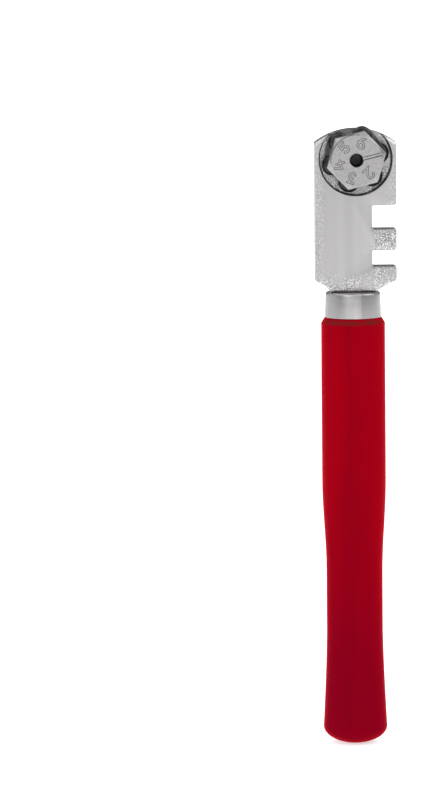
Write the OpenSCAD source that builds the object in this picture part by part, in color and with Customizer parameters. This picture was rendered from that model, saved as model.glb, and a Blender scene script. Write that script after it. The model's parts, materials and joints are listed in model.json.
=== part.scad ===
// Glass cutter with six scoring wheels.
// A cast, plated head carries a hexagonal turret of six hardened wheels and has two
// breaking notches along one edge. Its tang is pressed into a turned wooden handle
// behind a drawn ferrule. A screw from the back clamps the turret.
//
// Origin: the lowest point of the handle's butt, on the handle's axis.
// +Z runs up the handle to the wheels, the turret faces -Y, the notches open to +X.

/* [Handle] */
// Radius of the straight grip, and of the bulb above the butt
handle_r = 6.7; // [6.4:0.05:7]
// Radius at the waist
waist_r = 5.9; // [5.2:0.02:6.2]
// Height of the shoulder where the ferrule seats
shoulder_z = 89.9; // [86:0.1:94]
// Lower end of the straight grip
grip_low_z = 56; // [52:1:62]
// Upper end of the waist
waist_high_z = 36; // [30:1:42]
// Lower end of the waist
waist_low_z = 24; // [18:1:28]
// Height of the rounded butt
butt_h = 3.6; // [2.6:0.1:5]
// Height of the chamfer below the shoulder
shoulder_chamfer = 1.2; // [0.5:0.1:1.4]

/* [Ferrule] */
// Length of the ferrule
ferrule_h = 5.4; // [5:0.1:8]
// Outer radius at the mouth of the ferrule
ferrule_mouth_r = 5.95; // [5.9:0.01:6.1]
// Outer radius near the closed end of the ferrule
ferrule_top_r = 5.7; // [5.7:0.01:5.9]
// Thickness of the drawn metal
ferrule_wall = 0.5; // [0.3:0.05:0.6]
// Radius of the ferrule's rounded edge
ferrule_edge_r = 0.7; // [0.6:0.1:1.2]

/* [Head] */
// Width of the plate
plate_w = 17.1; // [16.4:0.1:17.4]
// Thickness of the plate
plate_t = 5; // [4.6:0.1:5.4]
// Sideways offset of the plate from the handle's axis
plate_dx = 0.6; // [0:0.05:0.8]
// Width of the plate where it meets the ferrule
neck_w = 9.4; // [8:0.1:10.4]
// Height of the neck's slopes
neck_h = 2.4; // [1.6:0.1:2.6]
// Height of the plate's straight sides above the ferrule
side_h = 31.2; // [31:0.1:32]
// Radius of the arched top edge
arch_r = 13.9; // [13.5:0.1:15]
// Radius of the plate's outer corners
corner_r = 0.5; // [0.3:0.05:0.7]
// Length of the tang in the handle
tang_len = 25; // [15:1:30]
// Width of the tang at its root
tang_w = 4.2; // [3.6:0.1:5]
// Thickness of the tang
tang_t = 3; // [2.4:0.1:3.6]

/* [Breaking notches] */
// Depth of both notches
notch_depth = 5.1; // [4.4:0.1:5.4]
// Height of the wide notch
notch_wide_h = 4.9; // [4.4:0.1:5.2]
// Height of the narrow notch
notch_narrow_h = 3.3; // [2.6:0.1:3.6]
// Middle of the wide notch above the ferrule
notch_wide_mid = 15.65; // [15.2:0.05:16]
// Middle of the narrow notch above the ferrule
notch_narrow_mid = 7.05; // [6.8:0.05:7.4]
// Radius of the notches' inner corners
notch_fillet = 0.4; // [0.2:0.05:0.6]

/* [Turret] */
// Centre of the turret above the ferrule
turret_h = 27.8; // [27.6:0.05:28.2]
// Radius of the pocket in the plate
pocket_r = 7.64; // [7.56:0.01:7.7]
// Depth of the pocket
pocket_depth = 2; // [1.8:0.05:2.3]
// Distance across the flats of the hexagon
turret_flats = 11; // [10.6:0.1:11.4]
// How far the turret's face stands out of the plate
turret_stand = 3.5; // [3.2:0.1:4]
// Direction of the first corner, turned up from +X
turret_turn = 14; // [0:0.5:59.5]
// Angle of the turned chamfer on the hexagon's corners
turret_chamfer = 20; // [10:1:35]
// Thickness of the turret's foot, below the wheels
foot_t = 0.75; // [0.6:0.05:0.8]
// Width of the groove that the wheels run in
groove_w = 1.25; // [1.2:0.01:1.3]
// Radius of the turret's core inside the groove
core_r = 2.5; // [2.2:0.05:2.6]
// Radius of the turret's central hole
turret_hole_r = 1.4; // [1.37:0.01:1.42]

/* [Wheels] */
// Number of cutting wheels, one at each corner
wheel_count = 6; // [6]
// Radius of a wheel at its cutting edge
wheel_r = 2.2; // [2.1:0.02:2.24]
// Thickness of a wheel
wheel_t = 1.05; // [0.9:0.01:1.1]
// Height of the ground V edge
wheel_bevel = 0.5; // [0.3:0.05:0.6]
// Radius of the circle of wheel axles
wheel_ring_r = 4.9; // [4.86:0.01:5.2]
// Radius of an axle pin
pin_r = 0.6; // [0.5:0.02:0.64]
// Length of an axle pin
pin_len = 3.6; // [3:0.1:4.2]

/* [Clamp screw] */
// Radius of the screw's shank at the pitch line
screw_r = 1.35; // [1.31:0.01:1.36]
// Radius of the clearance hole through the plate
plate_hole_r = 1.65; // [1.5:0.05:1.9]
// Radius of the screw's head
screw_head_r = 2.8; // [2.5:0.1:3.4]
// Height of the screw's head
screw_head_h = 1.6; // [1.3:0.1:2]
// Width of the driver slot
slot_w = 0.8; // [0.6:0.05:1]
// Depth of the driver slot
slot_depth = 0.8; // [0.5:0.05:0.9]
// How far the screw's end lies below the turret's face
screw_recess = 3; // [1.5:0.1:3.4]
// Outer radius of the spring washer
washer_r = 2.65; // [2.4:0.05:2.75]
// Thickness of the spring washer
washer_t = 0.6; // [0.5:0.05:0.8]
// Width of the spring washer's split
washer_split = 0.45; // [0.3:0.05:0.6]

/* [Hidden] */
$fn = 96;
// Gap between faces that turn or slide on each other
run_gap = 0.05;
// Gap between faces that the screw clamps together
clamp_gap = 0.03;
// Gap between the tenon and the ferrule pressed over it
press_gap = 0.02;
// Overlap of a cutting tool past the face it cuts
past = 1;

head_z = shoulder_z + ferrule_h;
tenon_r = ferrule_top_r - ferrule_wall;
tenon_top_z = head_z - ferrule_wall;
grip_top_z = shoulder_z - shoulder_chamfer;
side_top_z = head_z + side_h;
turret_z = head_z + turret_h;
half_w = plate_w / 2;
front = plate_t / 2;
pocket_floor = front - pocket_depth;
foot_low = pocket_floor + run_gap;
groove_low = foot_low + foot_t;
groove_high = groove_low + groove_w;
turret_face = front + turret_stand;
corner_step = 360 / wheel_count;
hex_corner_r = turret_flats / 2 / cos(30);
// The index groove that marks the first corner
index_w = 0.7;
index_depth = 0.35;
index_reach = 5.5;
flare_power = 1.4;
curve_steps = 12;
arc_steps = 5;

function blend(a, b, t) = a + (b - a) * t;

// The arc that rounds the corner at q, between p and s, as a list of points
function corner_arc(p, q, s, r) =
    let (u = (p - q) / norm(p - q),
         v = (s - q) / norm(s - q),
         half = acos(u * v) / 2,
         c = q + (u + v) / norm(u + v) * r / sin(half),
         from = q + u * r / tan(half) - c,
         to = q + v * r / tan(half) - c,
         a0 = atan2(from.y, from.x),
         turn = (atan2(to.y, to.x) - a0 + 540) % 360 - 180)
    [for (k = [0 : arc_steps]) let (a = a0 + turn * k / arc_steps) c + r * [cos(a), sin(a)]];

// A polygon of [x, y, corner radius] points with its corners rounded
function rounded(points) =
    let (n = len(points), xy = [for (p = points) [p.x, p.y]])
    [for (i = [0 : n - 1])
        each points[i].z > 0
            ? corner_arc(xy[(i + n - 1) % n], xy[i], xy[(i + 1) % n], points[i].z)
            : [xy[i]]];

// Drawing in front view: x to the right, y up, z towards the front (-Y)
module front_view() rotate([90, 0, 0]) children();

// Front view with its origin at the turret's centre
module at_turret() front_view() translate([plate_dx, turret_z, 0]) children();

// Front view with its origin at corner i of the turret
module at_corner(i)
    at_turret() rotate(turret_turn - corner_step * i) translate([wheel_ring_r, 0, 0]) children();

// One notch of the edge: inner and outer corners of a slot open to the right
function notch(mid, height) = [
    [half_w, head_z + mid - height / 2, corner_r],
    [half_w - notch_depth, head_z + mid - height / 2, notch_fillet],
    [half_w - notch_depth, head_z + mid + height / 2, notch_fillet],
    [half_w, head_z + mid + height / 2, corner_r]];

// The plate about its own middle, with its neck on the handle's axis
module plate_outline() {
    arch_rise = sqrt(arch_r * arch_r - half_w * half_w);
    arch_start = atan2(arch_rise, half_w);
    arch = [for (k = [1 : 2 * curve_steps - 1])
        let (a = blend(arch_start, 180 - arch_start, k / (2 * curve_steps)))
        [arch_r * cos(a), side_top_z - arch_rise + arch_r * sin(a), 0]];
    polygon(rounded(concat(
        [[neck_w / 2 - plate_dx, head_z, 0], [half_w, head_z + neck_h, corner_r]],
        notch(notch_narrow_mid, notch_narrow_h),
        notch(notch_wide_mid, notch_wide_h),
        [[half_w, side_top_z, corner_r]],
        arch,
        [[-half_w, side_top_z, corner_r], [-half_w, head_z + neck_h, corner_r],
         [-neck_w / 2 - plate_dx, head_z, 0]])));
}

// Tapered tang with a wedge point
module tang() {
    tip_w = tang_w * 0.7;
    wedge_h = tang_w / 2;
    front_view() translate([0, 0, -tang_t / 2]) linear_extrude(tang_t)
        polygon([[-tang_w / 2, head_z + past], [-tip_w / 2, head_z - tang_len + wedge_h],
                 [0, head_z - tang_len], [tip_w / 2, head_z - tang_len + wedge_h],
                 [tang_w / 2, head_z + past]]);
}

module head_casting() color("silver") difference() {
    union() {
        front_view() translate([plate_dx, 0, -front]) linear_extrude(plate_t) plate_outline();
        tang();
    }
    at_turret() translate([0, 0, pocket_floor]) cylinder(r = pocket_r, h = pocket_depth + past);
    at_turret() translate([0, 0, -front - past]) cylinder(r = plate_hole_r, h = plate_t + past);
}

// Drawn cup, closed end up, with a slot for the tang
module ferrule() color("gainsboro") difference() {
    rotate_extrude() polygon(concat(
        [[tenon_r, shoulder_z], [ferrule_mouth_r, shoulder_z]],
        [for (k = [0 : curve_steps]) let (a = 90 * k / curve_steps)
            [ferrule_top_r - ferrule_edge_r * (1 - cos(a)), head_z - ferrule_edge_r * (1 - sin(a))]],
        [[0, head_z], [0, tenon_top_z], [tenon_r, tenon_top_z]]));
    tang();
}

// Turned handle: rounded butt, flare, waist, swelling, straight grip, shoulder and tenon
module handle() color("firebrick") difference() {
    rotate_extrude() polygon(concat(
        [for (k = [0 : curve_steps]) let (a = 90 * k / curve_steps)
            [handle_r * sin(a), butt_h * (1 - cos(a))]],
        [for (k = [1 : curve_steps]) let (t = k / curve_steps)
            [blend(waist_r, handle_r, pow(1 - t, flare_power)), blend(butt_h, waist_low_z, t)]],
        [for (k = [0 : curve_steps]) let (t = k / curve_steps)
            [blend(waist_r, handle_r, (1 - cos(180 * t)) / 2), blend(waist_high_z, grip_low_z, t)]],
        [[handle_r, grip_top_z], [ferrule_mouth_r, shoulder_z], [tenon_r - press_gap, shoulder_z],
         [tenon_r - press_gap, tenon_top_z - press_gap], [0, tenon_top_z - press_gap]]));
    tang();
}

// Hexagonal turret with a grooved waist for the wheels
module turret_body() color("lightgray") difference() {
    outside_r = hex_corner_r + past;
    chamfer_drop = (outside_r - turret_flats / 2) * tan(turret_chamfer);
    at_turret() intersection() {
        rotate(turret_turn) translate([0, 0, foot_low])
            cylinder(r = hex_corner_r, h = turret_face - foot_low, $fn = 6);
        rotate_extrude() polygon([
            [0, foot_low], [outside_r, foot_low], [outside_r, turret_face - chamfer_drop],
            [turret_flats / 2, turret_face], [0, turret_face]]);
    }
    at_turret() rotate_extrude() polygon([
        [core_r, groove_low], [outside_r, groove_low], [outside_r, groove_high], [core_r, groove_high]]);
    at_turret() translate([0, 0, foot_low - past])
        cylinder(r = turret_hole_r, h = turret_face - foot_low + 2 * past);
    for (i = [0 : wheel_count - 1])
        at_corner(i) translate([0, 0, foot_low - past]) cylinder(r = pin_r, h = pin_len + past);
    at_turret() rotate(turret_turn) translate([0, -index_w / 2, turret_face - index_depth])
        cube([index_reach, index_w, index_depth + past]);
}

module cutting_wheel(i) color("dimgray") {
    side_gap = (groove_w - wheel_t) / 2;
    at_corner(i) translate([0, 0, groove_low + side_gap]) rotate_extrude() polygon([
        [pin_r + run_gap, 0], [wheel_r - wheel_bevel, 0], [wheel_r, wheel_t / 2],
        [wheel_r - wheel_bevel, wheel_t], [pin_r + run_gap, wheel_t]]);
}

module axle_pin(i) color("gray")
    at_corner(i) translate([0, 0, foot_low]) cylinder(r = pin_r, h = pin_len);

// Split washer under the screw's head, pressed flat
module spring_washer() color("darkgray") at_turret() {
    low = front + clamp_gap;
    difference() {
        translate([0, 0, -low - washer_t]) cylinder(r = washer_r, h = washer_t);
        translate([0, 0, -low - washer_t - past])
            cylinder(r = plate_hole_r, h = washer_t + 2 * past);
        rotate(-turret_turn) translate([-washer_split / 2, 0, -low - washer_t - past])
            cube([washer_split, washer_r + past, washer_t + 2 * past]);
    }
}

// Slotted screw through the plate into the turret
module clamp_screw() color("silver") at_turret() {
    under_head = -front - washer_t - 2 * clamp_gap;
    difference() {
        union() {
            translate([0, 0, under_head]) cylinder(r = screw_r, h = turret_face - screw_recess - under_head);
            translate([0, 0, under_head - screw_head_h]) cylinder(r = screw_head_r, h = screw_head_h);
        }
        translate([-screw_head_r - past, -slot_w / 2, under_head - screw_head_h - past])
            cube([2 * (screw_head_r + past), slot_w, slot_depth + past]);
    }
}

head_casting();
ferrule();
handle();
turret_body();
cutting_wheel(0);  // cutting_wheel_1
cutting_wheel(1);  // cutting_wheel_2
cutting_wheel(2);  // cutting_wheel_3
cutting_wheel(3);  // cutting_wheel_4
cutting_wheel(4);  // cutting_wheel_5
cutting_wheel(5);  // cutting_wheel_6
axle_pin(0);  // axle_pin_1
axle_pin(1);  // axle_pin_2
axle_pin(2);  // axle_pin_3
axle_pin(3);  // axle_pin_4
axle_pin(4);  // axle_pin_5
axle_pin(5);  // axle_pin_6
clamp_screw();
spring_washer();
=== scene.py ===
"""Looks for a glass cutter: a plated cast head with a turret of six wheels on a red lacquered handle.

Each piece is built in the part's own frame, in metres: +Z up the handle, -Y out of the turret's face.
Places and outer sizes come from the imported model. Every CAD node is replaced by a finer mesh of the
same size, and every material is made of shader nodes.
"""

import json
import math

import bmesh
import bpy
from mathutils import Matrix, Quaternion, Vector, noise


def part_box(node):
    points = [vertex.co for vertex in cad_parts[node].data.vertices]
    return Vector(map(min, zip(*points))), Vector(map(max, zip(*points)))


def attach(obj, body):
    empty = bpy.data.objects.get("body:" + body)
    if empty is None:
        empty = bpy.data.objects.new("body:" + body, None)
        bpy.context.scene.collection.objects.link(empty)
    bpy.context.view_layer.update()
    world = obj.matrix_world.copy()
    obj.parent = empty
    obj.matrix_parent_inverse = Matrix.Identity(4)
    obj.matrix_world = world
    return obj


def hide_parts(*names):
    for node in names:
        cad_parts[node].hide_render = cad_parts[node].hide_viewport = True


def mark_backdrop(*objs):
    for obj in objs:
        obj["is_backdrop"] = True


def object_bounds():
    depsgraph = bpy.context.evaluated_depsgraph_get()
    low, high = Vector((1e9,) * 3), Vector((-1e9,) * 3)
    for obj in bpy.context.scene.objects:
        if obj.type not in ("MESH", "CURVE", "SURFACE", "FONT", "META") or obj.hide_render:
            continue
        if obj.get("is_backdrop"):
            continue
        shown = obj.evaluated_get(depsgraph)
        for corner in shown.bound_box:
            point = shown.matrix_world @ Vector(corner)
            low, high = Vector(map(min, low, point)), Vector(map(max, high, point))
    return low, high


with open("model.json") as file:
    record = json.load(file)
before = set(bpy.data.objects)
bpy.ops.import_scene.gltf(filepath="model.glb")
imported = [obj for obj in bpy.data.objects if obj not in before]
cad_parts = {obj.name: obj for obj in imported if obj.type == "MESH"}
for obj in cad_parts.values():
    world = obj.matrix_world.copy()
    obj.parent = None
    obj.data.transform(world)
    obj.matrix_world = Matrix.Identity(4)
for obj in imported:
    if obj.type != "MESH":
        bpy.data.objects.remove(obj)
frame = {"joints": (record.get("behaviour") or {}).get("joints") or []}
cad_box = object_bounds()

MM = 0.001

# ---------------------------------------------------------------- places taken from the frame

joints = {joint["name"]: joint for joint in frame["joints"]}
turret_at = Vector(joints["turret_turn"]["pos_m"])
wheel_at = [Vector(joints[f"wheel_{i}_spin"]["pos_m"]) for i in range(1, 7)]
head_low, head_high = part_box("head_casting")
ferrule_low, ferrule_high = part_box("ferrule")
handle_low, handle_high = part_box("handle")
turret_low, turret_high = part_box("turret_body")
wheel_low, wheel_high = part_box("cutting_wheel_1")
pin_low, pin_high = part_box("axle_pin_1")
screw_low, screw_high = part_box("clamp_screw")
washer_low, washer_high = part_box("spring_washer")

plate_x = (head_low.x + head_high.x) / 2
half_w = (head_high.x - head_low.x) / 2
front_y = head_low.y
back_y = head_high.y
neck_z = ferrule_high.z
handle_r = handle_high.x
ferrule_r = ferrule_high.x
pocket_depth = 2 * MM
pocket_floor = -front_y - pocket_depth
shoulder_h = 1.2 * MM


# ---------------------------------------------------------------- outlines

def round_corners(points, closed=True, steps=5):
    """(x, y, radius) corners as a list of (x, y), each corner with a radius turned into an arc."""
    out = []
    count = len(points)
    for i, (x, y, radius) in enumerate(points):
        q = Vector((x, y))
        if radius <= 0 or (not closed and i in (0, count - 1)):
            out.append((x, y))
            continue
        before = Vector(points[i - 1][:2])
        after = Vector(points[(i + 1) % count][:2])
        u, v = (before - q).normalized(), (after - q).normalized()
        half = u.angle(v) / 2
        centre = q + (u + v).normalized() * radius / math.sin(half)
        start = q + u * radius / math.tan(half) - centre
        end = q + v * radius / math.tan(half) - centre
        a0 = math.atan2(start.y, start.x)
        turn = (math.atan2(end.y, end.x) - a0 + 3 * math.pi) % (2 * math.pi) - math.pi
        for k in range(steps + 1):
            a = a0 + turn * k / steps
            out.append((centre.x + radius * math.cos(a), centre.y + radius * math.sin(a)))
    return out


def inset(outline, distance):
    """A closed counterclockwise outline moved inwards by distance."""
    out = []
    count = len(outline)
    for i in range(count):
        p, q, s = (Vector(outline[(i + k) % count]) for k in (-1, 0, 1))
        e, f = (q - p).normalized(), (s - q).normalized()
        bisector = Vector((-e.y, e.x)) + Vector((-f.y, f.x))
        bisector.normalize()
        spread = max(0.5, bisector.dot(Vector((-e.y, e.x))))
        moved = q + bisector * distance / spread
        out.append((moved.x, moved.y))
    return out


# ---------------------------------------------------------------- mesh helpers

def new_object(name, bm):
    bmesh.ops.recalc_face_normals(bm, faces=bm.faces)
    mesh = bpy.data.meshes.new(name)
    bm.to_mesh(mesh)
    bm.free()
    obj = bpy.data.objects.new(name, mesh)
    bpy.context.scene.collection.objects.link(obj)
    return obj


def bridge(bm, rings, close=False):
    """Quads between consecutive rings of vertices, each ring closed on itself."""
    pairs = list(zip(rings, rings[1:]))
    if close:
        pairs.append((rings[-1], rings[0]))
    for lower, upper in pairs:
        count = max(len(lower), len(upper))
        for i in range(count):
            j = (i + 1) % count
            corners = []
            for vert in (lower[i % len(lower)], lower[j % len(lower)],
                         upper[j % len(upper)], upper[i % len(upper)]):
                if vert not in corners:
                    corners.append(vert)
            bm.faces.new(corners)


def lathe(name, profile, place=Matrix.Identity(4), segments=96, ring=False, wobble=None):
    """Turns (radius, height) points about local Z. A ring's profile is a loop clear of the axis."""
    bm = bmesh.new()
    rings = []
    for radius, height in profile:
        if radius < 1e-7:
            rings.append([bm.verts.new(place @ Vector((0, 0, height)))])
            continue
        verts = []
        for k in range(segments):
            a = 2 * math.pi * k / segments
            r = radius + (wobble(a, height) if wobble else 0)
            verts.append(bm.verts.new(place @ Vector((r * math.cos(a), r * math.sin(a), height))))
        rings.append(verts)
    bridge(bm, rings, close=ring)
    return new_object(name, bm)


def arc_sweep(name, section, start, end, place=Matrix.Identity(4), steps=48, lean=0.0):
    """A closed (radius, height) section swept about local Z, its ends slanted by lean."""
    middle_h = sum(h for _, h in section) / len(section)
    bm = bmesh.new()
    rings = []
    for k in range(steps + 1):
        loop = []
        for r, h in section:
            a = start + (end - start) * k / steps + lean * (h - middle_h)
            loop.append(bm.verts.new(place @ Vector((r * math.cos(a), r * math.sin(a), h))))
        rings.append(loop)
    bridge(bm, rings)
    bm.faces.new(rings[0])
    bm.faces.new(rings[-1])
    return new_object(name, bm)


def prism(name, outline, low, high, place=Matrix.Identity(4)):
    """A closed (x, y) outline extruded from low to high along local Z."""
    bm = bmesh.new()
    rings = [[bm.verts.new(place @ Vector((x, y, h))) for x, y in outline] for h in (low, high)]
    bridge(bm, rings)
    for verts in rings:
        bm.faces.new(verts)
    return new_object(name, bm)


def bake_modifiers(obj):
    """Replaces obj's mesh by what its modifiers make of it."""
    depsgraph = bpy.context.evaluated_depsgraph_get()
    mesh = bpy.data.meshes.new_from_object(obj.evaluated_get(depsgraph))
    obj.modifiers.clear()
    old = obj.data
    obj.data = mesh
    bpy.data.meshes.remove(old)
    return obj


def cut(obj, cutter, operation="DIFFERENCE"):
    """Applies a boolean and deletes the cutter."""
    modifier = obj.modifiers.new("cut", "BOOLEAN")
    modifier.operation = operation
    modifier.solver = "EXACT"
    modifier.material_mode = "INDEX"
    modifier.object = cutter
    bpy.context.view_layer.update()
    bake_modifiers(obj)
    bpy.data.objects.remove(cutter)
    return obj


def soften(obj, width, segments=2, angle=40):
    """Rounds the edges sharper than angle, in degrees."""
    modifier = obj.modifiers.new("soften", "BEVEL")
    modifier.width = width
    modifier.segments = segments
    modifier.limit_method = "ANGLE"
    modifier.angle_limit = math.radians(angle)
    modifier.harden_normals = False
    bpy.context.view_layer.update()
    return bake_modifiers(obj)


def smooth(obj, angle=32):
    """Smooth shading, with edges sharper than angle kept crisp."""
    for polygon in obj.data.polygons:
        polygon.use_smooth = True
    obj.data.set_sharp_from_angle(angle=math.radians(angle))
    return obj


def facing(at=Vector((0, 0, 0)), turn=0.0):
    """Front view: local x to the right, y up and z towards the front, with its origin at a point."""
    return Matrix.Translation((at.x, 0, at.z)) @ Matrix.Rotation(math.pi / 2, 4, "X") \
        @ Matrix.Rotation(turn, 4, "Z")


def finish_piece(obj, node, body, slot, *materials):
    """Materials by index, the CAD node that the piece stands for, and the body that it rides on."""
    indices = [polygon.material_index for polygon in obj.data.polygons]
    obj.data.materials.clear()
    for material in materials:
        obj.data.materials.append(material)
    obj.data.polygons.foreach_set("material_index", [min(i, len(materials) - 1) for i in indices])
    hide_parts(node)
    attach(obj, body)
    return obj


# ---------------------------------------------------------------- shader helpers

class NodeTree:
    """Short calls for the nodes used here. place is the vector that textures are laid out by."""

    def __init__(self, tree, coordinates):
        self.nodes = tree.nodes
        self.links = tree.links
        self.place = self.nodes.new("ShaderNodeTexCoord").outputs[coordinates]

    def put(self, value, socket):
        if isinstance(value, bpy.types.NodeSocket):
            self.links.new(value, socket)
        else:
            socket.default_value = value

    def scaled(self, scale):
        node = self.nodes.new("ShaderNodeVectorMath")
        node.operation = "MULTIPLY"
        self.put(self.place, node.inputs[0])
        node.inputs[1].default_value = scale
        return node.outputs["Vector"]

    def noise(self, scale, detail=3.0, roughness=0.55, stretch=(1, 1, 1)):
        node = self.nodes.new("ShaderNodeTexNoise")
        self.put(self.scaled(stretch), node.inputs["Vector"])
        node.inputs["Scale"].default_value = scale
        node.inputs["Detail"].default_value = detail
        node.inputs["Roughness"].default_value = roughness
        return node.outputs["Fac"]

    def cells(self, scale):
        """The distance from the middle of the nearest of many scattered cells."""
        node = self.nodes.new("ShaderNodeTexVoronoi")
        self.put(self.place, node.inputs["Vector"])
        node.inputs["Scale"].default_value = scale
        return node.outputs["Distance"]

    def axis(self, letter):
        node = self.nodes.new("ShaderNodeSeparateXYZ")
        self.put(self.place, node.inputs[0])
        return node.outputs[letter]

    def math(self, operation, a, b=0.0, c=0.0):
        node = self.nodes.new("ShaderNodeMath")
        node.operation = operation
        for value, socket in zip((a, b, c), node.inputs):
            self.put(value, socket)
        return node.outputs[0]

    def ramp(self, value, low, high, to_low=0.0, to_high=1.0):
        """A smooth step from to_low, where value is low, to to_high, where it is high."""
        node = self.nodes.new("ShaderNodeMapRange")
        node.interpolation_type = "SMOOTHSTEP"
        for source, name in ((value, "Value"), (low, "From Min"), (high, "From Max"),
                             (to_low, "To Min"), (to_high, "To Max")):
            self.put(source, node.inputs[name])
        return node.outputs["Result"]

    def mix(self, factor, a, b):
        node = self.nodes.new("ShaderNodeMix")
        node.data_type = "RGBA"
        self.put(factor, node.inputs["Factor"])
        self.put(a if isinstance(a, bpy.types.NodeSocket) else (*a, 1), node.inputs["A"])
        self.put(b if isinstance(b, bpy.types.NodeSocket) else (*b, 1), node.inputs["B"])
        return node.outputs["Result"]

    def bump(self, height, distance, strength=1.0, under=None):
        node = self.nodes.new("ShaderNodeBump")
        self.put(height, node.inputs["Height"])
        node.inputs["Distance"].default_value = distance
        node.inputs["Strength"].default_value = strength
        if under is not None:
            self.put(under, node.inputs["Normal"])
        return node.outputs["Normal"]

    def lobe(self, direction, inner, outer):
        """1 within inner degrees of a direction, falling smoothly to 0 at outer degrees."""
        node = self.nodes.new("ShaderNodeVectorMath")
        node.operation = "DOT_PRODUCT"
        self.put(self.place, node.inputs[0])
        node.inputs[1].default_value = Vector(direction).normalized()
        faded, full = math.cos(math.radians(outer)), math.cos(math.radians(inner))
        return self.ramp(node.outputs["Value"], faded, full)


class Shader(NodeTree):
    """A material's nodes."""

    def __init__(self, name):
        self.material = bpy.data.materials.new(name)
        self.material.use_nodes = True
        super().__init__(self.material.node_tree, "Object")
        self.bsdf = self.nodes["Principled BSDF"]

    def set(self, **inputs):
        for name, value in inputs.items():
            self.put(value, self.bsdf.inputs[name.replace("_", " ")])
        return self.material


# ---------------------------------------------------------------- materials

def plated_casting():
    """Nickel plate over a rough casting: smooth in the middle, grainy at the edges, teeth and chin."""
    s = Shader("plated_casting")
    x = s.math("SUBTRACT", s.axis("X"), plate_x)
    z = s.math("SUBTRACT", s.axis("Z"), neck_z)

    # where the plate is grainy: its long edges, the teeth between the notches, the chin and the sides
    edge = s.ramp(s.math("ABSOLUTE", x), half_w * 0.62, half_w * 0.98)
    chin = s.ramp(z, 5 * MM, 1.5 * MM)
    teeth = s.math("MULTIPLY", s.ramp(x, half_w * 0.3, half_w * 0.6), s.ramp(z, 15 * MM, 12 * MM))
    sides = s.math("MULTIPLY", s.ramp(s.axis("Y"), front_y + 0.2 * MM, front_y + 0.6 * MM),
                   s.ramp(s.axis("Y"), back_y - 0.2 * MM, back_y - 0.6 * MM, 0.3, 0.8))
    patches = s.ramp(s.noise(300, 2), 0.3, 0.55, 0.3, 1.0)
    rough = s.math("MAXIMUM", s.math("MAXIMUM", s.math("MULTIPLY", edge, 0.4), teeth),
                   s.math("MAXIMUM", s.math("MULTIPLY", chin, 0.75), sides))
    grainy = s.math("MULTIPLY", rough, patches)
    grain = s.noise(3500, 2, 0.6)
    dark_grain = s.math("MULTIPLY", s.ramp(grain, 0.5, 0.38), grainy)
    bright_grain = s.math("MULTIPLY", s.ramp(grain, 0.5, 0.62), grainy)

    # the plate's own tone, upright bands and fine mottling, and painted light that makes the right half a
    # little lighter
    bands = s.noise(330, 1, 0.5, (1, 1, 0.02))
    fine = s.noise(1500, 3, 0.6)
    shade = s.math("ADD", s.ramp(bands, 0.35, 0.65, 0.0, 0.7), s.ramp(fine, 0.3, 0.7, 0.0, 0.3))
    painted_light_right_half = s.ramp(s.math("ADD", x, s.math("MULTIPLY", bands, 2 * MM)), -0.6 * MM, 1.6 * MM)
    shade = s.math("ADD", s.math("MULTIPLY", shade, 0.85), s.math("MULTIPLY", painted_light_right_half, 0.15))
    colour = s.mix(shade, (0.35, 0.342, 0.344), (0.40, 0.392, 0.394))
    colour = s.mix(s.math("MULTIPLY", dark_grain, 0.7), colour, (0.15, 0.147, 0.148))
    colour = s.mix(s.math("MULTIPLY", bright_grain, 0.85), colour, (0.85, 0.84, 0.84))

    # painted shadow of the turret on the pocket's floor, reaching further out at the upper left
    off_x = s.math("SUBTRACT", s.axis("X"), turret_at.x - 0.45 * MM)
    off_z = s.math("SUBTRACT", s.axis("Z"), turret_at.z + 1.1 * MM)
    away = s.math("SQRT", s.math("ADD", s.math("POWER", off_x, 2.0), s.math("POWER", off_z, 2.0)))
    floor = s.ramp(s.axis("Y"), front_y + pocket_depth - 0.3 * MM, front_y + pocket_depth - 0.1 * MM)
    painted_turret_shadow = s.math("MULTIPLY", s.ramp(away, 6.15 * MM, 5.75 * MM), floor)
    colour = s.mix(s.math("MULTIPLY", painted_turret_shadow, 0.78), colour, (0.07, 0.069, 0.07))

    normal = s.bump(bands, 0.02 * MM, 0.5)
    normal = s.bump(fine, 0.008 * MM, 0.5, normal)
    normal = s.bump(s.math("MULTIPLY", grain, grainy), 0.06 * MM, 0.8, normal)
    roughness = s.math("ADD", s.ramp(fine, 0.3, 0.7, 0.28, 0.36), s.math("MULTIPLY", grainy, 0.1))
    return s.set(Base_Color=colour, Metallic=1.0, Roughness=roughness, Normal=normal)


def ferrule_nickel():
    """Drawn and polished: faint lines along the draw and round the mouth, and painted dark reflections at
    both sides.
    """
    s = Shader("ferrule_nickel")
    drawn = s.noise(900, 2, 0.5, (1, 1, 0.04))
    rings = s.noise(900, 2, 0.5, (0.02, 0.02, 1))
    normal = s.bump(s.math("ADD", drawn, rings), 0.002 * MM, 0.3)
    colour = s.mix(s.ramp(drawn, 0.3, 0.7), (0.415, 0.405, 0.407), (0.45, 0.44, 0.442))
    x = s.axis("X")
    # painted reflection: the cup darker at both sides
    painted_dark_sides = s.math("MAXIMUM", s.ramp(x, 0.5 * MM, -3.5 * MM), s.ramp(x, 1.2 * MM, 1.7 * MM, 0.0, 0.85))
    colour = s.mix(painted_dark_sides, colour, (0.30, 0.293, 0.295))
    return s.set(Base_Color=colour, Metallic=1.0, Roughness=s.ramp(rings, 0.3, 0.7, 0.24, 0.31),
                 Normal=normal)


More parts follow.
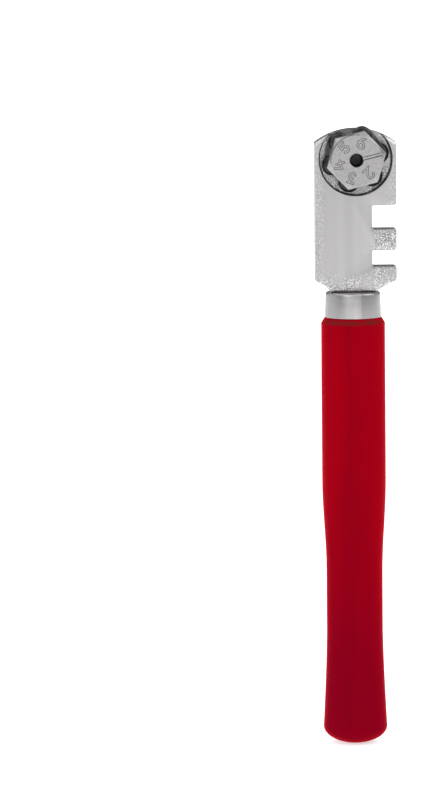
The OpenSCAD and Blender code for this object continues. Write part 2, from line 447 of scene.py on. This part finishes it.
def red_lacquer():
    """Deep red lacquer on turned wood, streaky along the grain, with a darker brown ring round the
    shoulder and painted shade towards the butt.
    """
    s = Shader("red_lacquer")
    z = s.axis("Z")
    streaks = s.noise(260, 3, 0.6, (1, 1, 0.05))
    clouds = s.noise(60, 3, 0.6, (1, 1, 0.5))
    tone = s.math("ADD", s.math("MULTIPLY", streaks, 0.6), s.math("MULTIPLY", clouds, 0.4))
    colour = s.mix(s.ramp(tone, 0.38, 0.62), (0.225, 0.0002, 0.0064), (0.275, 0.0002, 0.0052))
    # painted shade: the lacquer darker towards the butt
    low = s.ramp(z, handle_low.z + 50 * MM, handle_low.z + 8 * MM)
    colour = s.mix(s.math("MULTIPLY", low, 0.6), colour, (0.145, 0.0002, 0.0095))
    chamfer_z = ferrule_low.z - 0.75 * MM  # a little below the middle of the shoulder's chamfer
    ring = s.ramp(s.math("ABSOLUTE", s.math("SUBTRACT", z, chamfer_z)), 0.6 * MM, 0.3 * MM)
    ring = s.math("MULTIPLY", ring, s.ramp(s.noise(500, 3), 0.3, 0.6, 0.3, 0.8))
    colour = s.mix(ring, colour, (0.12, 0.012, 0.010))
    specks = s.ramp(s.cells(420), 0.045, 0.02)
    colour = s.mix(s.math("MULTIPLY", specks, 0.4), colour, (0.50, 0.05, 0.05))
    normal = s.bump(s.noise(150, 3, 0.5, (1, 1, 0.25)), 0.05 * MM, 0.3)
    normal = s.bump(s.math("SUBTRACT", s.noise(900, 2), specks), 0.012 * MM, 0.4, normal)
    return s.set(Base_Color=colour, Roughness=s.ramp(clouds, 0.3, 0.7, 0.32, 0.42), Normal=normal,
                 IOR=1.45, Specular_IOR_Level=0.003, Sheen_Weight=0.8, Sheen_Roughness=0.35,
                 Sheen_Tint=(1.0, 0.0, 0.02, 1))


def satin_steel(name, dark, light, roughness, lines=(1, 1, 1), scale=1800, mottled=0.4):
    """Machined steel: fine lines and a little mottling."""
    s = Shader(name)
    grain = s.noise(scale, 3, 0.6, lines)
    mottle = s.noise(500, 3, 0.6)
    tone = s.math("ADD", s.math("MULTIPLY", grain, 1 - mottled), s.math("MULTIPLY", mottle, mottled))
    colour = s.mix(s.ramp(tone, 0.38, 0.62), dark, light)
    rough = s.ramp(mottle, 0.3, 0.7, roughness - 0.03, roughness + 0.03)
    normal = s.bump(grain, 0.006 * MM, 0.5)
    return s.set(Base_Color=colour, Metallic=1.0, Roughness=rough, Normal=normal)


casting_material = plated_casting()
ferrule_material = ferrule_nickel()
lacquer_material = red_lacquer()
turret_material = satin_steel("turret_steel", (0.31, 0.303, 0.305), (0.36, 0.352, 0.354), 0.3,
                              mottled=0.2)
# near black steel: painted shade in the turret's marks and bore, and a painted shadow on its step
painted_shade_material = satin_steel("painted_shade_steel", (0.09, 0.088, 0.089), (0.16, 0.157, 0.158), 0.5)
wheel_material = satin_steel("wheel_steel", (0.030, 0.030, 0.033), (0.060, 0.060, 0.064), 0.32)
pin_material = satin_steel("pin_steel", (0.40, 0.40, 0.41), (0.52, 0.52, 0.53), 0.25, (1, 0.05, 1))
# near black: painted shade, so that the screw's end looks dark in the hole through the turret
screw_material = satin_steel("screw_steel", (0.018, 0.018, 0.019), (0.036, 0.036, 0.038), 0.35)
washer_material = satin_steel("washer_steel", (0.30, 0.30, 0.30), (0.38, 0.38, 0.38), 0.3)


# ---------------------------------------------------------------- head casting

edge_r = 0.42 * MM
corner_r = 0.55 * MM
notch_depth = 5.1 * MM
fillet_r = 0.42 * MM
notches = ((7.05 * MM, 3.3 * MM), (15.65 * MM, 4.9 * MM))  # middle above the neck, height
side_top_z = neck_z + 31.2 * MM
arch_r = 13.9 * MM
arch_rise = math.sqrt(arch_r ** 2 - half_w ** 2)
arch_start = math.atan2(arch_rise, half_w)
arch_chamfer = 0.62 * MM
neck_half = 4.7 * MM
pocket_r = 7.64 * MM
rim = 0.1 * MM  # chamfer of the pocket and of the screw's hole
screw_hole_r = 1.65 * MM  # also the washer's bore


def plate_outline():
    """The plate in front view, counterclockwise, as (x, y) with the plate's middle at x = 0."""
    slope_z = neck_z + 2.4 * MM
    scoop = (6.1 * MM, neck_z + 1.3 * MM, 3 * MM)
    arch_steps = 32
    points = [(neck_half - plate_x, neck_z, 0.3 * MM), scoop, (half_w, slope_z, corner_r)]
    for middle, height in notches:
        low, high = neck_z + middle - height / 2, neck_z + middle + height / 2
        inner = half_w - notch_depth
        points += [(half_w, low, corner_r), (inner, low, fillet_r),
                   (inner, high, fillet_r), (half_w, high, corner_r)]
    points.append((half_w, side_top_z, corner_r))
    for k in range(1, arch_steps):
        a = arch_start + (math.pi - 2 * arch_start) * k / arch_steps
        points.append((arch_r * math.cos(a), side_top_z - arch_rise + arch_r * math.sin(a), 0))
    points += [(-half_w, side_top_z, corner_r), (-half_w, slope_z, corner_r),
               (-scoop[0] - plate_x / 2, scoop[1], scoop[2]),
               (-neck_half - plate_x, neck_z, 0.3 * MM)]
    return round_corners(points, steps=6)


def head_plate():
    """The plate with rounded edges, a little draft and the mould's parting line round its edge."""
    outline = plate_outline()
    half_t = (back_y - front_y) / 2
    draft = 0.05 * MM
    steps = 6
    # distance from the middle of the plate's thickness, and how far in the outline is there
    sides = [(0.0, -0.02 * MM), (0.12 * MM, draft * 0.4), (0.3 * MM, draft * 0.5)]
    for k in range(steps + 1):
        a = math.pi / 2 * k / steps
        sides.append((half_t - edge_r + edge_r * math.sin(a), draft + edge_r * (1 - math.cos(a))))
    layers = [(-y, d) for y, d in reversed(sides)] + sides[1:]
    bm = bmesh.new()
    rings = []
    for y, distance in layers:
        loop = inset(outline, distance)
        rings.append([bm.verts.new((plate_x + x, y, z)) for x, z in loop])
    bridge(bm, rings)
    bm.faces.new(rings[0])
    bm.faces.new(rings[-1])
    return new_object("head", bm)


def tang_shape():
    """The tapered tang with its wedge point, as deep in the handle as the frame says."""
    half, tip, half_t = 2.1 * MM, 1.47 * MM, 1.5 * MM
    wedge_z = head_low.z + 2.1 * MM
    outline = round_corners([
        (half, neck_z + 1 * MM, 0), (-half, neck_z + 1 * MM, 0), (-tip, wedge_z, 0.3 * MM),
        (0, head_low.z, 0.2 * MM), (tip, wedge_z, 0.3 * MM)])
    return prism("tang", outline, -half_t, half_t, facing())


def arch_cutter(face, towards):
    """Takes the edge between the arch and one face of the plate off at 45 degrees."""
    reach = 1.5 * MM
    section = [(arch_r - arch_chamfer - reach, face + towards * reach),
               (arch_r + reach, face - towards * (arch_chamfer + reach)),
               (arch_r + reach, face + towards * reach)]
    centre = Vector((plate_x, 0, side_top_z - arch_rise))
    spare = math.radians(8)
    return arc_sweep("arch_cutter", section, arch_start - spare, math.pi - arch_start + spare,
                     facing(centre), 64)


def build_head():
    """The plate and tang in one, with the turret's pocket and the screw's hole."""
    head = head_plate()
    cut(head, tang_shape(), "UNION")
    face = -front_y
    cut(head, arch_cutter(face, 1))
    cut(head, arch_cutter(-back_y, -1))
    pocket = lathe("pocket", round_corners([
        (0, pocket_floor, 0), (pocket_r, pocket_floor, 0.35 * MM), (pocket_r, face - rim, 0),
        (pocket_r + 4 * rim, face + 3 * rim, 0), (pocket_r + 4 * rim, face + 2 * MM, 0),
        (0, face + 2 * MM, 0)], closed=False), facing(turret_at), 128)
    cut(head, pocket)
    beyond = 1 * MM
    hole = lathe("hole", [
        (0, -back_y - beyond), (screw_hole_r + rim + beyond, -back_y - beyond),
        (screw_hole_r, -back_y + rim), (screw_hole_r, face), (0, face)], facing(turret_at), 64)
    cut(head, hole)
    soften(head, 0.07 * MM, 2, 50)
    smooth(head, 30)
    return finish_piece(head, "head_casting", "head_and_handle", "plated_casting", casting_material)


# ---------------------------------------------------------------- ferrule and handle

def build_ferrule():
    """A drawn cup, open at the handle, whose closed end has a hole for the tang."""
    wall, top_r = 0.5 * MM, ferrule_r - 0.25 * MM
    hole = 2.2 * MM
    profile = round_corners([
        (ferrule_r - wall, ferrule_low.z, 0.1 * MM), (ferrule_r, ferrule_low.z, 0.2 * MM),
        (top_r, ferrule_high.z, 0.65 * MM), (hole, ferrule_high.z, 0),
        (hole, ferrule_high.z - wall, 0), (top_r - wall, ferrule_high.z - wall, 0.5 * MM)], steps=8)
    ferrule = lathe("ferrule_cup", profile, segments=128, ring=True)
    smooth(ferrule, 30)
    return finish_piece(ferrule, "ferrule", "head_and_handle", "ferrule_nickel", ferrule_material)


waist_r = 5.9 * MM
butt_h = 3.6 * MM
flare = (24 * MM, 1.4)  # where it starts, above the butt, and its power
swelling = (36 * MM, 56 * MM)  # from the waist to the straight grip


def handle_radius(z):
    """The turned radius between the butt and the shoulder."""
    if z < butt_h:
        return handle_r * math.sqrt(max(0.0, 1 - (1 - z / butt_h) ** 2))
    if z < flare[0]:
        return waist_r + (handle_r - waist_r) * ((flare[0] - z) / (flare[0] - butt_h)) ** flare[1]
    if z < swelling[0]:
        return waist_r
    if z < swelling[1]:
        t = (z - swelling[0]) / (swelling[1] - swelling[0])
        return waist_r + (handle_r - waist_r) * (1 - math.cos(math.pi * t)) / 2
    return handle_r


def build_handle():
    """A dense lathe form whose surface wanders a few hundredths of a millimetre, as dipped wood does."""
    shoulder, grip_top = ferrule_low.z, ferrule_low.z - shoulder_h
    tenon = ferrule_r - 0.75 * MM
    straight_top = grip_top - 0.3 * MM
    butt_steps, steps = 14, 110
    profile = [(0.0, 0.0)]
    for k in range(1, butt_steps + 1):
        a = math.pi / 2 * k / butt_steps
        profile.append((handle_r * math.sin(a), butt_h * (1 - math.cos(a))))
    for k in range(1, steps + 1):
        z = butt_h + (straight_top - butt_h) * k / steps
        profile.append((handle_radius(z), z))
    profile += round_corners([
        (handle_r, straight_top, 0), (handle_r, grip_top, 0.25 * MM),
        (ferrule_r, shoulder, 0.12 * MM), (tenon, shoulder, 0)], closed=False)[1:]
    profile += [(tenon, handle_high.z - 0.5 * MM), (tenon - 0.4 * MM, handle_high.z), (0, handle_high.z)]

    def wander(angle, z):
        if z > grip_top:
            return 0.0
        spot = Vector((math.cos(angle) * 0.9, math.sin(angle) * 0.9, z * 55))
        return -0.022 * MM * (1 + noise.noise(spot))

    handle = lathe("handle_turned", profile, segments=128, wobble=wander)
    smooth(handle, 40)
    return finish_piece(handle, "handle", "head_and_handle", "red_lacquered_wood", lacquer_material)


# ---------------------------------------------------------------- turret, wheels and pins

hex_flats = 11 * MM
hex_corner = hex_flats / 2 / math.cos(math.pi / 6)
turret_face = -turret_low.y
foot_low = -turret_high.y
wheel_thick = wheel_high.y - wheel_low.y
wheel_mid = -(wheel_high.y + wheel_low.y) / 2
wheel_radius = (wheel_high.z - wheel_low.z) / 2
groove_half = wheel_thick / 2 + 0.1 * MM
corner_turn = math.atan2(wheel_at[0].z - turret_at.z, wheel_at[0].x - turret_at.x)
pin_r = (pin_high.x - pin_low.x) / 2
hole_r = 1.4 * MM
stamp_depth = 0.12 * MM


def arc_points(x, y, radius, start, end, steps=8):
    """Points of an arc between two angles in degrees."""
    angles = [math.radians(start + (end - start) * k / steps) for k in range(steps + 1)]
    return [(x + radius * math.cos(a), y + radius * math.sin(a)) for a in angles]


# the centre lines of each number's strokes, the number being 1 high
number_strokes = {
    2: [arc_points(0, 0.21, 0.29, 165, -35) + [(-0.3, -0.5), (0.33, -0.5)]],
    3: [[(-0.27, 0.5), (0.25, 0.5), (-0.06, 0.06)], arc_points(-0.03, -0.19, 0.3, 100, -150)],
    4: [[(-0.2, 0.5), (-0.36, -0.14), (0.42, -0.14)], [(0.14, 0.24), (0.14, -0.5)]],
    5: [[(0.27, 0.5), (-0.22, 0.5), (-0.25, 0.03)], arc_points(0, -0.19, 0.31, 140, -140)],
    6: [arc_points(0.35, -0.15, 0.65, 100, 170, 5), arc_points(0, -0.2, 0.3, 180, 0),
        arc_points(0, -0.2, 0.3, 0, -180)],
}


def stroke_outline(line, radius):
    """The closed outline of a line drawn with a round pen."""
    out = []
    for points in (line, line[::-1]):
        points = [Vector(point) for point in points]
        for before, at, after in zip(points, points[1:], points[2:]):
            e, f = (at - before).normalized(), (after - at).normalized()
            side = Vector((e.y + f.y, -e.x - f.x)).normalized()
            spread = max(0.5, side.dot(Vector((e.y, -e.x))))
            out.append(tuple(at + side * radius / spread))
        course = points[-1] - points[-2]
        ahead = math.degrees(math.atan2(course.y, course.x))
        out += arc_points(*points[-1], radius, ahead - 90, ahead + 90, 6)
    return out


def engrave(obj, line, place, half, slope, depth):
    """Cuts a groove along a line. Its half width grows from half, at the bottom, by slope at the face."""
    bm = bmesh.new()
    rings = []
    for height, radius in ((turret_face - depth, half), (turret_face + depth, half + 2 * slope)):
        outline = stroke_outline(line, radius)
        rings.append([bm.verts.new(place @ Vector((x, y, height))) for x, y in outline])
    bridge(bm, rings)
    for verts in rings:
        bm.faces.new(verts)
    cut(obj, new_object("stroke", bm))


def stamp_number(obj, number, angle):
    """Stamps one number, its top outwards, at an angle about the turret's centre."""
    height, middle_r = 2.1 * MM, 3.72 * MM
    place = facing(turret_at, angle) @ Matrix.Translation((middle_r, 0, 0)) \
        @ Matrix.Rotation(-math.pi / 2, 4, "Z")
    half, slope = 0.14 * MM, 0.13 * MM
    for k, stroke in enumerate(number_strokes[number]):
        line = [(x * height, y * height) for x, y in stroke]
        deeper = 1 + 0.03 * k  # no two floors in one plane, for the boolean's sake
        engrave(obj, line, place, half, slope, stamp_depth * deeper)


def index_groove(obj):
    """The groove that marks the first corner."""
    inner, outer = 0.8 * MM, 5.35 * MM
    half, slope, depth = 0.2 * MM, 0.17 * MM, 0.23 * MM
    engrave(obj, [(inner, 0), (outer, 0)], facing(turret_at, corner_turn), half, slope, depth)


def build_turret():
    """A hexagon with turned corners and a grooved waist, bored for its pins and stamped 2 to 6."""
    hexagon = round_corners([
        (hex_corner * math.cos(corner_turn + math.pi / 3 * k),
         hex_corner * math.sin(corner_turn + math.pi / 3 * k), 0.2 * MM) for k in range(6)], steps=3)
    turret = prism("turret", hexagon, foot_low - 1 * MM, turret_face + 1 * MM, facing(turret_at))
    outside = hex_corner + 1 * MM
    chamfer = math.tan(math.radians(20))
    flat_r = hex_flats / 2 - 0.24 * MM
    step = 0.19 * MM
    groove_low, groove_high = wheel_mid - groove_half, wheel_mid + groove_half
    core = 2.5 * MM
    profile = round_corners([
        (hole_r, foot_low, 0), (hex_corner - 0.15 * MM, foot_low, 0), (outside, foot_low + 0.6 * MM, 0),
        (outside, groove_low, 0), (core, groove_low, 0.1 * MM), (core, groove_high, 0.1 * MM),
        (outside, groove_high, 0), (outside, turret_face - step - (outside - flat_r) * chamfer, 0),
        (flat_r + step, turret_face - step, 0), (flat_r, turret_face, 0.02 * MM),
        (hole_r + 0.12 * MM, turret_face, 0), (hole_r, turret_face - 0.12 * MM, 0)])
    turned = lathe("turned", profile, facing(turret_at), 144, ring=True)
    cut(turret, turned, "INTERSECT")
    soften(turret, 0.12 * MM, 2, 50)
    turret.data.materials.append(turret_material)
    turret.data.materials.append(painted_shade_material)
    for i, at in enumerate(wheel_at):
        bore = lathe("bore", [(0, foot_low - 1 * MM), (pin_r, foot_low - 1 * MM),
                              (pin_r, -pin_low.y), (0, -pin_low.y + 0.2 * MM)], facing(at), 32)
        cut(turret, bore)
        if i > 0:
            stamp_number(turret, i + 1, corner_turn - math.pi / 3 * i)
    index_groove(turret)
    smooth(turret, 25)

    # the marks' slopes and the bore are painted dark, painted shade in these recesses, and the upper left
    # part of the face's step is a painted shadow line
    for polygon in turret.data.polygons:
        away = Vector((polygon.center.x - turret_at.x, polygon.center.z - turret_at.z))
        depth = polygon.center.y - turret_low.y
        sloping = abs(polygon.normal.y) < 0.95 and 0.01 * MM < depth < 0.25 * MM
        in_bore = away.length < hole_r * 1.01 and depth > 0.15 * MM
        in_mark = hole_r + 0.15 * MM < away.length < flat_r - 0.05 * MM and sloping
        upper_left = away.length > flat_r and away.angle(Vector((-0.7, 0.7))) < 0.9
        in_step = upper_left and abs(depth - step / 2) < 0.03 * MM
        polygon.material_index = 1 if in_bore or in_mark or in_step else 0
        if in_mark or abs(polygon.normal.y) > 0.999:
            polygon.use_smooth = False
    return finish_piece(turret, "turret_body", "turret", "turret_steel", turret_material, painted_shade_material)


def build_wheel(i):
    """A hardened wheel: a hub boss on each side, a shallow dish and a ground V edge."""
    half = wheel_thick / 2
    bore = pin_r + 0.05 * MM
    shelf = wheel_radius - 0.5 * MM
    side = [(bore, 0), (bore, half - 0.06 * MM), (bore + 0.06 * MM, half), (bore + 0.5 * MM, half),
            (bore + 0.56 * MM, half - 0.06 * MM), (shelf - 0.06 * MM, half - 0.06 * MM),
            (shelf, half - 0.1 * MM), (wheel_radius - 0.02 * MM, 0.03 * MM), (wheel_radius, 0)]
    profile = side + [(r, -h) for r, h in reversed(side[1:-1])]
    place = facing(wheel_at[i]) @ Matrix.Translation((0, 0, wheel_mid))
    wheel = lathe(f"wheel_{i + 1}", profile, place, 96, ring=True)
    smooth(wheel, 20)
    return finish_piece(wheel, f"cutting_wheel_{i + 1}", f"wheel_{i + 1}", "wheel_steel", wheel_material)


def build_pin(i):
    """A drawn pin with a chamfer at each end."""
    low, high = -pin_high.y, -pin_low.y
    chamfer = 0.12 * MM
    pin = lathe(f"pin_{i + 1}", [
        (0, low), (pin_r - chamfer, low), (pin_r, low + chamfer), (pin_r, high - chamfer),
        (pin_r - chamfer, high), (0, high + 0.1 * MM)], facing(wheel_at[i]), 32)
    smooth(pin, 25)
    return finish_piece(pin, f"axle_pin_{i + 1}", "turret", "pin_steel", pin_material)


# ---------------------------------------------------------------- clamp screw and washer

screw_r = 1.35 * MM
screw_pitch = 0.5 * MM
screw_head_r = (screw_high.x - screw_low.x) / 2
screw_head_h = 1.6 * MM


def build_screw():
    """A slotted cheese-head screw: a slightly domed head, and a real helical thread on its shank."""
    end = -screw_low.y
    outer = -screw_high.y
    under = outer + screw_head_h
    thread_depth = 0.28 * MM
    bm = bmesh.new()
    place = facing(turret_at)
    segments, rows = 48, 140
    rings = []
    for k in range(rows + 1):
        z = under - 0.05 * MM + (end - under + 0.05 * MM) * k / rows
        fade = min(1.0, (end - z) / (0.4 * MM), (z - under) / (0.5 * MM) if z > under else 0)
        verts = []
        for m in range(segments):
            a = 2 * math.pi * m / segments
            phase = (z / screw_pitch - m / segments) % 1
            groove = max(0.0, 1 - abs(phase - 0.5) * 2.3)
            r = screw_r - thread_depth * groove * max(fade, 0) - (0.25 * MM if z > end - 0.05 * MM else 0)
            verts.append(bm.verts.new(place @ Vector((r * math.cos(a), r * math.sin(a), z))))
        rings.append(verts)
    bridge(bm, rings)
    bm.faces.new(rings[0])
    bm.faces.new(rings[-1])
    shank = new_object("shank", bm)
    head = lathe("screw", round_corners([
        (0, outer, 0), (screw_head_r * 0.75, outer + 0.06 * MM, 0.4 * MM),
        (screw_head_r, outer + 0.2 * MM, 0.25 * MM), (screw_head_r, under, 0.1 * MM), (0, under, 0)],
        closed=False), place, 96)
    cut(head, shank, "UNION")
    slot_half, slot_depth, slot_reach = 0.4 * MM, 0.8 * MM, screw_head_r * 2
    slot = prism("slot", [(-slot_reach, -slot_half), (slot_reach, -slot_half),
                          (slot_reach, slot_half), (-slot_reach, slot_half)],
                 outer - 1 * MM, outer + slot_depth, place)
    cut(head, slot)
    smooth(head, 28)
    return finish_piece(head, "clamp_screw", "screw", "screw_steel", screw_material)


def build_washer():
    """A split washer of square wire with rounded edges, its ends cut on a slant."""
    low, high = -washer_high.y, -washer_low.y
    inner, outer = screw_hole_r, (washer_high.z - washer_low.z) / 2
    edge = 0.08 * MM
    section = round_corners([(inner, low, edge), (outer, low, edge),
                             (outer, high, edge), (inner, high, edge)], steps=3)
    gap, slant = 0.09, 0.12  # radians: half of the split, and the lean of its ends
    split_at = math.pi / 2 - corner_turn
    washer = arc_sweep("washer", section, split_at + gap, split_at + 2 * math.pi - gap,
                       facing(turret_at), 90, slant / (high - low))
    smooth(washer, 25)
    return finish_piece(washer, "spring_washer", "washer", "washer_steel", washer_material)


build_head()
build_ferrule()
build_handle()
build_turret()
for i in range(6):
    build_wheel(i)
    build_pin(i)
build_screw()
build_washer()


# ---------------------------------------------------------------- stage, light and camera

def pale_floor():
    """A white light table: it glows a little, so that only the closest shadow shows on it."""
    s = Shader("floor_paper")
    paper = s.noise(300, 2)
    colour = s.mix(s.ramp(paper, 0.3, 0.7), (0.80, 0.80, 0.80), (0.83, 0.83, 0.83))
    material = s.set(Base_Color=colour, Roughness=0.9, Specular_IOR_Level=0.0,
                     Emission_Color=(1, 1, 1, 1), Emission_Strength=0.62)
    bm = bmesh.new()
    bmesh.ops.create_circle(bm, cap_ends=True, segments=96, radius=8)
    floor = new_object("floor", bm)
    floor.data.materials.append(material)
    floor.location.z = cad_box[0].z
    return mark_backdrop(floor)


# direction, degrees of the full and of the faded edge, and what it adds to the tent's light
tent_lobes = (
    ((-0.38, -0.85, 0.37), 8, 30, 0.5),
    ((0.0, -0.1, 1.0), 35, 60, 0.4),
    ((-1.0, 0.5, 0.1), 20, 55, 0.5),
    ((0.9, -0.43, 0.05), 36, 44, -0.18),
    ((-0.9, -0.43, 0.05), 15, 60, -0.15),
    ((0.75, -0.05, 0.65), 12, 26, 1.8),
    ((-0.6, 0.0, 0.8), 8, 24, 0.9),
    ((-0.1, 0.97, 0.2), 28, 50, -0.55),
)


def soft_world():
    """White to the camera. All else sees a soft tent with brighter and darker parts."""
    world = bpy.data.worlds.new("tent")
    bpy.context.scene.world = world
    world.use_nodes = True
    world.node_tree.nodes.clear()
    w = NodeTree(world.node_tree, "Generated")
    tent = 0.72
    for direction, inner, outer, amount in tent_lobes:
        tent = w.math("ADD", tent, w.math("MULTIPLY", w.lobe(direction, inner, outer), amount))
    tent = w.math("MAXIMUM", tent, 0.03)
    shown = w.nodes.new("ShaderNodeBackground")
    unseen = w.nodes.new("ShaderNodeBackground")
    w.put(tent, unseen.inputs["Color"])
    shown.inputs["Color"].default_value = (1, 1, 1, 1)
    mixer = w.nodes.new("ShaderNodeMixShader")
    w.put(w.nodes.new("ShaderNodeLightPath").outputs["Is Camera Ray"], mixer.inputs[0])
    w.put(unseen.outputs[0], mixer.inputs[1])
    w.put(shown.outputs[0], mixer.inputs[2])
    w.put(mixer.outputs[0], w.nodes.new("ShaderNodeOutputWorld").inputs["Surface"])


middle = (cad_box[0] + cad_box[1]) / 2


def softbox(name, azimuth, elevation, distance, size, power):
    a, e = math.radians(azimuth), math.radians(elevation)
    away = Vector((math.sin(a) * math.cos(e), -math.cos(a) * math.cos(e), math.sin(e)))
    light = bpy.data.lights.new(name, "AREA")
    light.shape = "RECTANGLE"
    light.size, light.size_y = size
    light.energy = power
    lamp = bpy.data.objects.new(name, light)
    bpy.context.scene.collection.objects.link(lamp)
    lamp.location = middle + away * distance
    lamp.rotation_mode = "QUATERNION"
    lamp.rotation_quaternion = (-away).to_track_quat("-Z", "Y")
    return lamp


def studio_camera():
    """A long lens a little to the left and above; the tool stands right of the picture's middle."""
    azimuth, elevation, roll = math.radians(-3.5), math.radians(6.8), math.radians(-0.48)
    distance, seen_height = 1.5, 0.1675
    away = Vector((math.sin(azimuth) * math.cos(elevation), -math.cos(azimuth) * math.cos(elevation),
                   math.sin(elevation)))
    data = bpy.data.cameras.new("camera")
    data.sensor_width = 36
    data.lens = data.sensor_width * distance / seen_height
    data.clip_start = 0.05
    camera = bpy.data.objects.new("camera", data)
    bpy.context.scene.collection.objects.link(camera)
    camera.location = middle + away * distance
    camera.rotation_mode = "QUATERNION"
    right = Vector((math.cos(azimuth), math.sin(azimuth), 0))
    up = Vector((0, 0, 1))
    aim = middle - right * 28.54 * MM + up * 7.58 * MM
    look = (aim - camera.location).to_track_quat("-Z", "Y")
    camera.rotation_quaternion = look @ Quaternion((0, 0, 1), roll)
    bpy.context.scene.camera = camera


pale_floor()
soft_world()
softbox("key", -30, 30, 0.9, (0.45, 0.45), 1.0)
studio_camera()
bpy.context.scene.view_settings.view_transform = "Standard"
